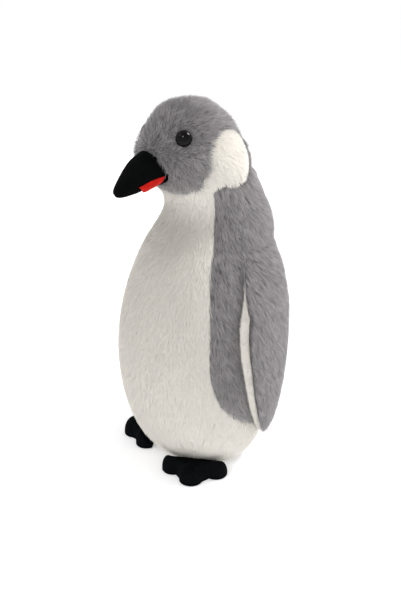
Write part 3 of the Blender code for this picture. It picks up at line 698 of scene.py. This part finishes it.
def build_grids():
    """Every body panel as a grid of points on the body, the left ones and the middle ones."""
    side = join(BELLY_SIDE, NECK_SIDE)
    grids = {
        "belly_panel": coons(mirror_join(BASE_FRONT), side,
                             mirror_join(join(FACE_FRONT, CHEEK_CORNER)), reflect(side), on_torso),
        "crown_gusset": coons(mirror_join(BROW[::-1]), GUSSET_SIDE, mirror_join(NAPE_BACK[::-1]),
                              reflect(GUSSET_SIDE), SKIN_SURFACE.from_head),
        "side_panel": coons(BASE_SIDE, HIDDEN_SIDE, SHOULDER_SIDE, BELLY_SIDE, on_torso),
        "back_panel": coons(BASE_BACK, BACK_LOW, SHOULDER_BACK, HIDDEN_SIDE, on_torso),
        "shoulder_panel": coons(join(SHOULDER_SIDE, SHOULDER_BACK), BACK_HIGH,
                                join(CHEEK_LOW, NAPE_FACE, NAPE_BACK), NECK_SIDE, on_torso),
        "cheek_patch": coons(join(CHEEK_CORNER, CHEEK_LOW), CHEEK_REAR[::-1], CHEEK_TOP, CHEEK_FRONT,
                             SKIN_SURFACE.from_head),
        "face_panel": coons(FACE_FRONT, join(CHEEK_FRONT, CHEEK_TOP, CHEEK_REAR), NAPE_FACE[::-1],
                            join(CHIN, BEAK_SIDE, GUSSET_SIDE), SKIN_SURFACE.from_head),
    }
    return {name: as_grid(rows) for name, rows in grids.items()}


def base_grid():
    """The underside, ring by ring from the base seam down to the flat oval on the ground."""
    half = join(BASE_FRONT, BASE_SIDE, BASE_BACK)
    rim = half + reflect(half[-2::-1])
    rings = 12
    rows = []
    for k in range(rings + 1):
        line = []
        for p in rim:
            t = row_at(p.z)
            _, width, front, back = smooth_row(BODY, t)
            phi = math.atan2(p.x / width, -(p.y - 0.5 * (back - front)) / (0.5 * (front + back)))
            line.append(body_point(t * (1 - k / rings), phi) if k else p)
        rows.append(line)
    return as_grid(rows)[::-1]


def soften(grids):
    """Blows the panels up like filled cloth, held at their seams, and takes up the result."""
    index, verts, faces, seam_points = {}, [], [], set()
    places = {}
    for name, grid in grids.items():
        rows, columns = grid.shape[:2]
        ids = np.zeros((rows, columns), int)
        for j in range(rows):
            for i in range(columns):
                key = tuple(np.round(grid[j, i] * 20000).astype(int))
                on_edge = i in (0, columns - 1) or j in (0, rows - 1)
                if not on_edge or key not in index:
                    ids[j, i] = len(verts)
                    verts.append(grid[j, i])
                    if on_edge:
                        index[key] = len(verts) - 1
                else:
                    ids[j, i] = index[key]
                if on_edge:
                    seam_points.add(int(ids[j, i]))
        places[name] = ids
        for j in range(rows - 1):
            for i in range(columns - 1):
                quad = (ids[j, i], ids[j, i + 1], ids[j + 1, i + 1], ids[j + 1, i])
                if len(set(quad)) == 4:
                    faces.append(tuple(int(q) for q in quad))
    cage = make_object("cloth_cage", verts, faces, GREY_BACKING)
    group = cage.vertex_groups.new(name="sewn")
    group.add(sorted(seam_points), 1.0, "REPLACE")
    cloth = cage.modifiers.new("Cloth", "CLOTH")
    cloth.settings.vertex_group_mass = "sewn"
    cloth.settings.quality = 5
    cloth.settings.tension_stiffness = 18.0
    cloth.settings.compression_stiffness = 14.0
    cloth.settings.shear_stiffness = 6.0
    cloth.settings.bending_stiffness = 0.6
    cloth.settings.use_pressure = True
    cloth.settings.uniform_pressure_force = CLOTH_PRESSURE
    cloth.settings.effector_weights.gravity = 0.0
    cloth.collision_settings.use_collision = False
    scene = bpy.context.scene
    for step in range(1, CLOTH_STEPS + 1):
        scene.frame_set(step)
    result = cage.evaluated_get(bpy.context.evaluated_depsgraph_get()).data
    after = np.empty(len(verts) * 3)
    result.vertices.foreach_get("co", after)
    after = after.reshape(-1, 3) - np.array([0.0, ORIGIN_Y, 0.0])
    shift = after - np.array(verts)
    size = np.linalg.norm(shift, axis=1, keepdims=True)
    shift *= np.minimum(1.0, CLOTH_CAP / np.maximum(size, 1e-9))
    scene.frame_set(1)
    bpy.data.objects.remove(cage, do_unlink=True)
    return {name: grids[name] + shift[ids] for name, ids in places.items()}


def dimple(grid, eyes):
    """Draws the face in round each eye, where its washer pulls on the fabric."""
    normals = grid_normals(grid)
    for eye in eyes:
        d = np.linalg.norm(grid - eye, axis=2)
        grid = grid - normals * (EYE_DIMPLE * np.exp(-(d / DIMPLE_RADIUS) ** 2))[:, :, None]
    return grid


def sink_seams(grid, share):
    """Draws a panel in along its seams, where the stitching holds it down."""
    d = edge_distance(grid)
    depth = share * SEAM_SINK * np.exp(-(d / SEAM_WIDTH) ** 1.5)
    return grid - grid_normals(grid) * depth[:, :, None]


def torso_flow(points, back):
    """Which way the pile lies on the body: down, and more or less towards the back."""
    flow = np.zeros_like(points)
    flow[:, 2] = -1.0
    flow[:, 1] = back
    return flow


def head_flow(points):
    """Which way the pile lies on the head: away from the beak, over the crown and down."""
    flow = points - np.array([0.0, -0.050, 0.208])
    flow = unit(flow)
    low = np.clip((0.2225 - points[:, 2]) / 0.012, 0.0, 1.0)
    behind = np.clip((points[:, 1] + 0.005) / 0.02, 0.0, 1.0)
    flow[:, 2] -= 2.0 * low + 1.1 * behind
    flow[:, 1] += 0.45 * (1.0 - behind)
    return flow


def trimmed(points, length, eyes):
    """Pile is cut short round the eyes and next to the beak."""
    out = np.full(len(points), length)
    for eye in eyes:
        d = np.linalg.norm(points - eye, axis=1)
        out *= np.clip((d - 0.0035) / 0.0085, 0.12, 1.0)
    ring = np.abs(np.hypot(points[:, 0] / BEAK_HALF_WIDTH,
                           (points[:, 2] - BEAK_BASE_Z) / BEAK_BASE_HALF_Z) - 1.0)
    front = points[:, 1] < -0.022
    below = points[:, 2] < BEAK_BASE_Z + 0.004
    least = np.where(below, 0.45, 0.85)
    out = np.where(front, out * np.clip(least + ring * 1.1, least, 1.0), out)
    return out


def place(piece, node, body, slot_name, fill=0.9):
    """Lets a piece stand for a CAD node. fill is not used."""
    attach(piece, body)
    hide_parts(node)


# ---- body ----
PANEL_FILL = 0.85
GREY_LENGTH = 0.0066        # pile of the body's grey panels
FACE_LENGTH = 0.0064
CROWN_LENGTH = 0.0058
CHEEK_LENGTH = 0.0042
WHITE_LENGTH = 0.0050
FLIPPER_LENGTH = 0.0062
LINING_LENGTH = 0.0014
PILE_LIFT = 0.42            # how far strands stand up: 0 lies flat, 1 stands straight
BELLY_LIFT = 0.40
EYE_CLEAR = 0.0041          # no strand is rooted nearer to an eye's middle than this
FLOOR_GAP = 0.0004          # no strand reaches lower than this

grids = build_grids()
for _name in ("side_panel", "back_panel", "shoulder_panel", "cheek_patch", "face_panel"):
    grids[f"{_name}_right"] = mirror_grid(grids[_name])
    grids[f"{_name}_left"] = grids.pop(_name)
grids = soften(grids)

DENSITY = 3.6
WHITE_PANELS = ("belly_panel", "cheek_patch_left", "cheek_patch_right")
_spot = body_at(EYE_PHI, EYE_Z)
EYE_PLACES = [np.array([_spot.x * _side, _spot.y, _spot.z]) for _, _side in SIDES]

for _number, (_name, _grid) in enumerate(sorted(grids.items())):
    white = _name in WHITE_PANELS
    skin = dimple(sink_seams(_grid, 0.35 if _name == "belly_panel" else 1.0), EYE_PLACES)
    piece = shell(f"skin_{_name}", skin, WHITE_BACKING if white else GREY_BACKING)
    place(piece, _name, "torso", "white_fur" if white else "grey_fur", PANEL_FILL)
    rng = np.random.default_rng(700 + _number)
    roots, normals, uv = scatter(skin, DENSITY, rng, steady_normals(skin))
    head = _name.startswith(("face", "crown", "cheek"))
    if head:
        if _name.startswith("crown"):
            length = CROWN_LENGTH
        elif _name.startswith("face"):
            length = FACE_LENGTH
        else:
            length = CHEEK_LENGTH
        length = trimmed(roots, length, EYE_PLACES)
        # The nape's pile is shorter.
        length *= 1.0 - 0.4 * np.clip((roots[:, 1] - 0.010) / 0.012, 0.0, 1.0)
        keep = np.ones(len(roots), bool)
        for eye in EYE_PLACES:
            keep &= np.linalg.norm(roots - eye, axis=1) > EYE_CLEAR
        roots, normals, uv, length = roots[keep], normals[keep], uv[keep], length[keep]
        flow = torso_flow(roots, 0.5) if white else head_flow(roots)
        pile = strands(f"pile_{_name}", roots, normals, uv, flow, length, 0.45 if white else 0.52,
                       WHITE_PILE if white else GREY_PILE, rng, wild=0.10 if white else 0.34,
                       clump=0.06 if white else 0.30)
    elif white:
        # The longest pile of the toy hangs from the foot of the belly over the feet.
        length = WHITE_LENGTH * (1.0 + 0.5 * np.clip((0.022 - roots[:, 2]) / 0.014, 0.0, 1.0))
        for half, keep in (("right", uv[:, 0] < 0.5), ("left", uv[:, 0] >= 0.5)):
            hanging = torso_flow(roots[keep], 0.0)
            pile = strands(f"pile_{_name}_{half}", roots[keep], normals[keep], uv[keep], hanging,
                           length[keep], BELLY_LIFT, WHITE_PILE, rng, wild=0.16, clump=0.14,
                           floor=FLOOR_GAP)
            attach(pile, "torso")
        continue
    else:
        pile = strands(f"pile_{_name}", roots, normals, uv, torso_flow(roots, 0.35), GREY_LENGTH,
                       PILE_LIFT, GREY_PILE, rng, wild=0.2, clump=0.28)
    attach(pile, "torso")

# ---- underside ----
base = base_grid()


def bowl(name, rings, mat, thickness):
    """A closed bowl from rings that run from its rim down to its flat foot."""
    outer = [ring[:-1] for ring in rings]
    centre = outer[-1].mean(axis=0)
    inner = []
    for ring in outer:
        inward = centre - ring
        inward[:, 2] = 0.0
        inner.append(ring + unit(inward) * thickness + np.array([0.0, 0.0, thickness * 0.6]))
    return loft(name, inner[::-1] + outer, mat)


rings = base[::-1]
under = bowl("skin_base_panel", rings, WHITE_BACKING, 0.0012)
place(under, "base_panel", "torso", "white_fur", PANEL_FILL)
rng = np.random.default_rng(811)
roots, normals, uv = scatter(base, DENSITY, rng)
keep = (roots[:, 2] > 0.0012)
roots, normals, uv = roots[keep], normals[keep], uv[keep]
pile = strands("pile_base_panel", roots, normals, uv, torso_flow(roots, 0.0), WHITE_LENGTH,
               PILE_LIFT, WHITE_PILE, rng, wild=0.16, clump=0.14, floor=FLOOR_GAP)
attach(pile, "torso")


# ---- beak ----
# Sections from the face forwards: y, middle height, half width, half height.
BEAK = (
    (-0.0425, 0.2046, 0.0154, 0.0112),
    (-0.0485, 0.2024, 0.0142, 0.0105),
    (-0.0535, 0.1995, 0.0122, 0.0092),
    (-0.0585, 0.1963, 0.0095, 0.0070),
    (-0.0625, 0.1938, 0.0068, 0.0050),
    (-0.0650, 0.1926, 0.0042, 0.0034),
    (-0.0664, 0.1920, 0.0008, 0.0008),
)
MOUTH = 104.0               # angle of the seam between the beak's halves, 0 on top
MOUTH_GAP = 1.5
BEAK_LEAST = 0.0004         # least half width and half height at the beak's tip
BEAK_WALL = 0.0012
STRIPE_OVER = 4.0           # how far the red stripe laps over the mouth
STRIPE_ANGLE = 46.0         # and how far it goes below it
STRIPE_WALL = 0.0014
STRIPE_PROUD = 0.0004
STRIPE_BULGE = 0.0011


def beak_loop(s, angles, inset):
    """Points round the beak at section number s, which may lie between two sections."""
    points = []
    for angle in angles:
        a = math.radians(angle)
        y, z, wide, high = smooth_row(BEAK, max(s, 0.0))
        p = Vector((max(wide - inset, BEAK_LEAST) * math.sin(a), y,
                    z + max(high - inset, BEAK_LEAST) * math.cos(a)))
        if s < 1.0:
            seat = SKIN_SURFACE.from_front((BEAK_HALF_WIDTH - inset) * math.sin(a),
                                           BEAK_BASE_Z + (BEAK_BASE_HALF_Z - inset) * math.cos(a))
            seat = seat - Vector((0.0, 0.0002, 0.0))
            blend = min(max(s, 0.0), 1.0)
            smooth = blend * blend * (3.0 - 2.0 * blend)
            p = seat.lerp(p, smooth)
        points.append(tuple(p))
    return points


def beak_piece(name, first, last, start, end, steps, mat, inset, wall, bulge=0.0,
               seam_side=None):
    """A beak panel between two angles and two sections.

    A lens-shaped one keeps its straight edge at seam_side, "first" or "last".
    """
    loops = []
    levels = 22
    for k in range(levels + 1):
        s = start + (end - start) * k / levels
        low, high = first, last
        if seam_side is not None:
            part = 0.04 + 0.96 * math.sin(math.pi * (1.0 - (1.0 - k / levels) ** 1.4)) ** 0.8
            if seam_side == "first":
                high = first + (last - first) * part
            else:
                low = last - (last - first) * part
        angles = [low + (high - low) * i / steps for i in range(steps + 1)]
        swell = bulge * math.sin(math.pi * k / levels)
        outer = []
        for i, angle in enumerate(angles):
            crown = math.sin(math.pi * i / steps)
            outer.append(beak_loop(s, [angle], inset - swell * crown)[0])
        inner = beak_loop(s, angles[::-1], inset + wall)
        loops.append(outer + inner)
    return loft(name, loops, mat)


top = len(BEAK) - 1.0
place(beak_piece("velour_beak_upper", -MOUTH, MOUTH, 0.0, top, 34, BEAK_BLACK, 0.0, BEAK_WALL),
      "beak_upper", "torso", "beak_black")
place(beak_piece("velour_beak_lower", MOUTH + MOUTH_GAP, 360 - MOUTH - MOUTH_GAP, 0.0, top, 20,
                 BEAK_BLACK, 0.0008, BEAK_WALL), "beak_lower", "torso", "beak_black")
for label, side in SIDES:
    first, last = MOUTH - STRIPE_OVER, MOUTH + STRIPE_ANGLE
    if side < 0:
        first, last = 360 - MOUTH - STRIPE_ANGLE, 360 - MOUTH + STRIPE_OVER
    place(beak_piece(f"velour_beak_stripe_{label}", first, last, 0.35, 2.35, 12, BEAK_RED,
                     -STRIPE_PROUD, STRIPE_WALL, bulge=STRIPE_BULGE,
                     seam_side="first" if side > 0 else "last"),
          f"beak_stripe_{label}", "torso", "beak_red")


# ---- eyes ----
def turned(name, profile, place_at, direction, mat, sides=48):
    """A piece turned about an axis. The profile is (height along the axis, radius) pairs."""
    turn = direction.to_track_quat("Z", "Y").to_matrix()
    angles = [2 * math.pi * i / sides for i in range(sides)]
    loops = []
    for height, radius in profile:
        circle = [Vector((radius * math.cos(a), radius * math.sin(a), height)) for a in angles]
        loops.append([tuple(place_at + turn @ p) for p in circle])
    return loft(name, loops, mat)


EYE_RADIUS = 0.0051
EYE_DOME = 0.0036           # height of the dome over its rim
EYE_RIM = -0.0008           # where the dome starts: sunk into the pile
SHANK_RADIUS = 0.0019
for label, side in SIDES:
    spot = body_at(EYE_PHI, EYE_Z)
    out = SKIN_SURFACE.normal(spot)
    spot = Vector((spot.x * side, spot.y, spot.z))
    out = Vector((out.x * side, out.y, out.z))
    profile = [(-0.0085, 0.0013), (-0.0079, SHANK_RADIUS), (-0.0016, SHANK_RADIUS),
               (-0.0015, EYE_RADIUS * 0.97), (-0.0012, EYE_RADIUS * 1.01), (EYE_RIM, EYE_RADIUS)]
    for a in range(6, 90, 6):
        a = math.radians(a)
        profile.append((EYE_RIM + EYE_DOME * math.sin(a), EYE_RADIUS * math.cos(a)))
    eye = turned(f"gloss_eye_{label}", profile, spot, out, EYE_GLOSS)
    place(eye, f"eye_{label}", "torso", "eye_black", fill=None)


# ---- flippers ----
EDGE_ROOM = 0.0022          # how far the front seam lies inside the full width, under the pile
EDGE_WAVE = 0.0009          # the front edge pulls in and out a little along its seam
ROOT_SINK = 0.0034          # how far the flipper's top edge is sewn in under the shoulder's pile
FLIPPER_THICK = 0.0075
FLIPPER_WALL = 0.0009
LINING_WRAP = 44.0          # how far the lining comes round the front edge to the outside
ROOT_WRAP = -30.0           # the same at the root, where it stays on the inside
FULL_AT = 0.30              # how far down the flipper has its full thickness and wrap


def flipper_frame(v, u):
    """The point on the body behind the flipper there, and the way straight out from it."""
    z, front, rear = smooth_row(FLIPPER, v * (len(FLIPPER) - 1))
    front += EDGE_ROOM + EDGE_WAVE * math.sin(2 * math.pi * (v * 1.5 - 0.15))
    y = front + (rear - front) * u
    foot = SKIN_SURFACE.from_side(y, z)
    out = SKIN_SURFACE.normal(foot)
    out.z = 0.0
    stand_off = 0.0009 + 0.0006 * v + 0.0010 * (1 - u) ** 2 * math.sin(math.pi * v)
    stand_off -= ROOT_SINK * max(1.0 - v / 0.12, 0.0) ** 2
    return foot + out.normalized() * stand_off, out.normalized()


def flipper_loop(v, first, last, steps, inset=0.0):
    """Points round the flipper's section. The angle is 0 at the front edge and 90 at its outside."""
    thick = FLIPPER_THICK * (1.0 - 0.25 * v) * (0.40 + 0.60 * min(v / FULL_AT, 1.0))
    tip = math.sqrt(max(1.0 - max((v - 0.90) / 0.10, 0.0) ** 2, 0.02))
    points = []
    for i in range(steps + 1):
        a = math.radians(first + (last - first) * i / steps)
        u = 0.5 - (0.5 * tip) * math.copysign(abs(math.cos(a)) ** 0.75, math.cos(a))
        rise = math.copysign(abs(math.sin(a)) ** 0.85, math.sin(a))
        d = 0.5 * thick + (0.5 * thick * tip - inset) * rise
        foot, out = flipper_frame(v, u)
        points.append(tuple(foot + out * max(d, 0.0002)))
    return points


def wrap_at(v):
    """The angle of the seam between lining and outer fabric."""
    return ROOT_WRAP + (LINING_WRAP - ROOT_WRAP) * min(v / FULL_AT, 1.0)


for label, side in SIDES:
    outer_grid = np.array([flipper_loop(v, wrap_at(v), 180.0 + 20.0 * max(1.0 - v / 0.06, 0.0), 28)
                           for v in np.linspace(0.0, 1.0, 48)])
    lining_grid = np.array([flipper_loop(v, wrap_at(v) - 3.0, -178.0, 34, 0.0002)
                            for v in np.linspace(0.11, 0.995, 46)])
    body = f"{label}_flipper"
    for kind, grid, mat, slot_name in (("outer", outer_grid, GREY_BACKING, "grey_fur"),
                                       ("lining", lining_grid, LINING, "lining")):
        if side < 0:
            grid = grid * np.array([-1.0, 1.0, 1.0])
        n = grid_normals(grid)
        middle = grid.mean(axis=1, keepdims=True)
        if ((grid - middle) * n).sum() < 0:
            grid, n = grid[:, ::-1], -n[:, ::-1]
        piece = shell(f"flipper_{kind}_skin_{label}", grid, mat, FLIPPER_WALL, n)
        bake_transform(piece)
        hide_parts(f"flipper_{kind}_{label}")
        if kind == "outer":
            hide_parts(f"flipper_batting_{label}")
        rng = np.random.default_rng(900 + side * 10 + len(kind))
        short = kind == "lining"
        roots, normals, uv = scatter(grid, DENSITY * (0.8 if short else 1.0), rng)
        pile = strands(f"pile_flipper_{kind}_{label}", roots, normals, uv, torso_flow(roots, 0.22),
                       LINING_LENGTH if short else FLIPPER_LENGTH, 0.7 if short else PILE_LIFT,
                       LINING_PILE if short else GREY_PILE, rng, wild=0.2, clump=0.1 if short else 0.28)
        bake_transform(pile)


# ---- feet ----
def foot_outline(inset, tuck, steps=16):
    """Outline of a foot as (out, across) pairs: two side lobes, a middle lobe, a straight rear."""
    radius = LOBE_RADIUS - inset
    rear = FOOT_REAR + inset
    side_out = SIDE_LOBE_OUT - tuck
    middle_out = MIDDLE_LOBE_OUT - tuck
    start = math.degrees(math.acos(max(-0.77, min(1.0, (rear + 0.0002 - side_out) / radius))))
    half = [(rear, REAR_HALF_WIDTH - inset)]
    for i in range(steps + 1):
        a = math.radians(start - (start + 25.0) * i / steps)
        half.append((side_out + radius * math.cos(a), LOBE_SPREAD + radius * math.sin(a)))
    for i in range(steps + 1):
        a = math.radians(85 - 85 * i / steps)
        half.append((middle_out + radius * math.cos(a), radius * math.sin(a)))
    other = [(out, -across) for out, across in reversed(half[:-1])]
    return half + other


UPPER_RIM = 0.0022          # height of the seam between upper and sole
FOOT_ROUND = 0.0042         # radius of the upper's round edge
FOOT_TOP = ((0.0030,), (0.0062,), (0.0104,), (0.0124,), (0.0124,), (0.0108,), (0.0092,))
FOOT_TOP_STEP = 0.0050      # how far apart those heights are, going out from the hinge


def foot_top(out):
    """Height of the foot's top at a distance out from its hinge."""
    return smooth_row(FOOT_TOP, min(max(out, 0.0), 0.0299) / FOOT_TOP_STEP)[0]


for label, side in SIDES:
    azimuth = math.radians(FOOT_AZIMUTH)
    tuck = RIGHT_FOOT_TUCK if side < 0 else 0.0
    body = f"{label}_foot"

    def ring(inset, height, follow):
        """The outline at a height, plus a share of the foot's top."""
        points = []
        for out, across in foot_outline(inset, tuck):
            x = FOOT_HINGE.x + math.sin(azimuth) * out + math.cos(azimuth) * across
            y = FOOT_HINGE.y - math.cos(azimuth) * out + math.sin(azimuth) * across
            points.append((x * side, y, height + follow * foot_top(out)))
        return points if side > 0 else points[::-1]

    sole = [ring(0.0012, 0.0, 0.0), ring(0.0004, 0.0003, 0.0), ring(0.0, 0.0009, 0.0),
            ring(0.0002, 0.0016, 0.0)]
    place(loft(f"velour_sole_{label}", sole, FOOT_BLACK), f"foot_sole_{label}", body, "foot_black", 0.5)
    upper = [ring(0.0004, 0.0018, 0.0), ring(0.0, UPPER_RIM, 0.0)]
    for a in range(10, 91, 10):
        s, c = math.sin(math.radians(a)), math.cos(math.radians(a))
        upper.append(ring(FOOT_ROUND * (1 - c), UPPER_RIM * (1 - s), s * 0.98))
    place(loft(f"velour_foot_{label}", upper, FOOT_BLACK), f"foot_upper_{label}", body,
          "foot_black", 0.8)


# ---- stage ----
def stage_material():
    n = Nodes("floor_paper", 0.9)
    paper = n.ramp(n.noise(3.0, 2.0), ((0.3, grey(0.94)), (0.7, grey(0.955))))
    n.link(paper, n.shader.inputs["Base Color"])
    n.shader.inputs["Emission Color"].default_value = (1.0, 1.0, 1.0, 1.0)
    n.shader.inputs["Emission Strength"].default_value = 0.33
    return n.mat


FLOOR_HALF = 60.0
floor = make_object("floor", [(x * FLOOR_HALF, y * FLOOR_HALF, 0)
                              for x, y in ((-1, -1), (1, -1), (1, 1), (-1, 1))],
                    [(0, 1, 2, 3)], stage_material(), smooth=False)

world = bpy.data.worlds.new("studio")
bpy.context.scene.world = world
world.use_nodes = True
sky = world.node_tree
direction = sky.nodes.new("ShaderNodeTexCoord")
split = sky.nodes.new("ShaderNodeSeparateXYZ")
height = sky.nodes.new("ShaderNodeValToRGB")
height.color_ramp.elements[0].position = 0.30
height.color_ramp.elements[0].color = (1.0, 1.0, 1.0, 1.0)
height.color_ramp.elements[1].position = 0.60
height.color_ramp.elements[1].color = (0.62, 0.62, 0.63, 1.0)
sky.links.new(direction.outputs["Generated"], split.inputs["Vector"])
sky.links.new(split.outputs["Z"], height.inputs["Fac"])
sky.links.new(height.outputs["Color"], sky.nodes["Background"].inputs["Color"])
sky.nodes["Background"].inputs["Strength"].default_value = 1.0


LIGHT_AIM = Vector((0.0, 0.0, 0.12))


def area_light(name, place_at, size, power):
    lamp = bpy.data.lights.new(name, "AREA")
    lamp.shape = "DISK"
    lamp.size = size
    lamp.energy = power
    ob = bpy.data.objects.new(name, lamp)
    bpy.context.scene.collection.objects.link(ob)
    ob.location = place_at
    ob.rotation_euler = (LIGHT_AIM - Vector(place_at)).to_track_quat("-Z", "Y").to_euler()


area_light("key", (-0.30, -0.85, 1.25), 0.7, 1.6)
area_light("rim", (0.30, 0.80, 1.30), 0.6, 25.0)
area_light("catch", (0.52, -0.62, 0.95), 0.10, 1.6)

camera = bpy.data.cameras.new("camera")
camera.lens = 48.58
camera.sensor_width = 36.0
camera.shift_x = -0.0033
camera.clip_start = 0.01
view = bpy.data.objects.new("camera", camera)
bpy.context.scene.collection.objects.link(view)
view.location = (0.4249, -0.3087 + ORIGIN_Y, 0.3031)
aim = Vector((0.0, ORIGIN_Y, 0.1088))
view.rotation_euler = (aim - view.location).to_track_quat("-Z", "Y").to_euler()
bpy.context.scene.camera = view
bpy.context.scene.view_settings.view_transform = "Standard"
